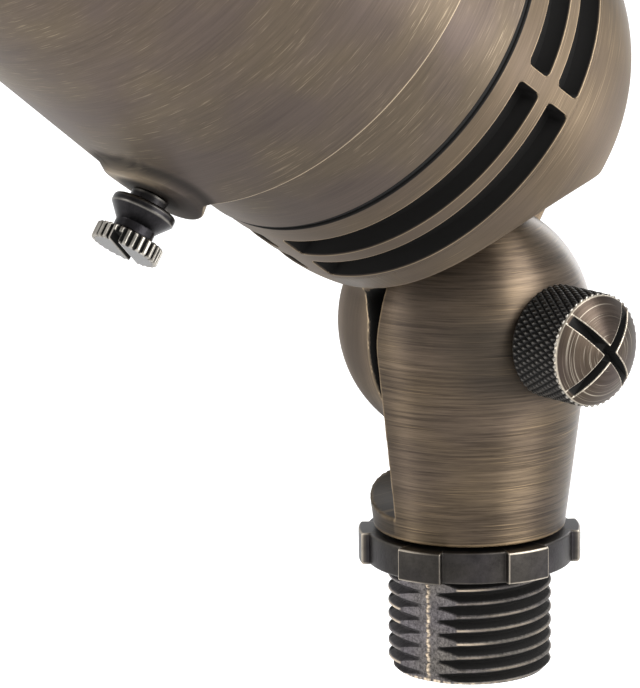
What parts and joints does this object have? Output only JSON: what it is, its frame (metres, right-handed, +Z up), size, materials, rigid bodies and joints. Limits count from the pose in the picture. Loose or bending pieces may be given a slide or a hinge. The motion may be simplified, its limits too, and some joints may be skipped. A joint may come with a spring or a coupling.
{
  "type": "landscape spotlight",
  "caption": "Dark bronze landscape spotlight on a half-inch threaded knuckle, with a slanted cowl and a knurled aiming screw.",
  "frame": {"origin": "centre of the stem in the plane of the lock nut's lower face", "axes": "+Z up along the stem, -Z out of the stem's threaded end; Y along the tilt axis with the knurled thumbscrew towards -Y; the head leans towards -X"},
  "size_m": [0.109, 0.065, 0.1638],
  "materials": {
    "bronze_turned": "dark bronze coating, brushed round the axis, worn to brass on edges",
    "bronze_casting": "dark bronze coating on a casting, brushed",
    "bronze_screw": "dark bronze coating worn bright on the knurls",
    "dark_steel": "darkened",
    "bright_steel": "satin",
    "black_rubber": "matte",
    "white_ceramic": "matte",
    "mirror_coat": "mirror-coated glass",
    "clear_glass": "clear"
  },
  "bodies": {
    "knuckle": {"knuckle_base": "bronze_casting", "wire_grommet": "black_rubber", "pivot_oring": "black_rubber", "thumbscrew_washer": "dark_steel"},
    "nut": {"lock_nut": "bronze_casting"},
    "aiming_screw": {"pivot_thumbscrew": "bronze_screw"},
    "head": {"rear_housing": "bronze_turned", "passage_sleeve": "black_rubber", "housing_gasket": "black_rubber", "front_body": "bronze_turned", "lampholder": "white_ceramic", "lampholder_bracket": "bright_steel", "bracket_screws": "bright_steel", "lamp_base": "white_ceramic", "lamp_pins": "bright_steel", "lamp_reflector": "mirror_coat", "lamp_capsule": "clear_glass", "lamp_front_glass": "clear_glass", "lens_gasket": "black_rubber", "lens": "clear_glass", "lens_ring": "bronze_turned"},
    "cowl_ring": {"cowl_oring": "black_rubber"},
    "cowl_shell": {"cowl": "bronze_turned"},
    "cowl_screw": {"cowl_thumbscrew": "bronze_screw"}
  },
  "joints": [
    {"name": "head_tilt", "type": "hinge", "parent": "knuckle", "child": "head", "pos_m": [0, 0, 0.0317], "axis": [0, 1, 0], "range_deg": [-65, 54.8]},
    {"name": "nut_turn", "type": "hinge", "parent": "knuckle", "child": "nut", "pos_m": [0, 0, 0.002], "axis": [0, 0, 1], "continuous": true},
    {"name": "aiming_screw_turn", "type": "hinge", "parent": "knuckle", "child": "aiming_screw", "pos_m": [0, -0.016, 0.0317], "axis": [0, 1, 0], "continuous": true},
    {"name": "cowl_turn", "type": "hinge", "parent": "head", "child": "cowl_ring", "pos_m": [-0.05241, 0, 0.09584], "axis": [-0.8171, 0, 0.5764], "continuous": true},
    {"name": "cowl_slide", "type": "slide", "parent": "cowl_ring", "child": "cowl_shell", "axis": [-0.8171, 0, 0.5764], "range_m": [-0.001, 0.018]},
    {"name": "cowl_screw_turn", "type": "hinge", "parent": "cowl_shell", "child": "cowl_screw", "pos_m": [-0.05404, 0, 0.05416], "axis": [-0.5764, 0, -0.8171], "continuous": true}
  ]
}
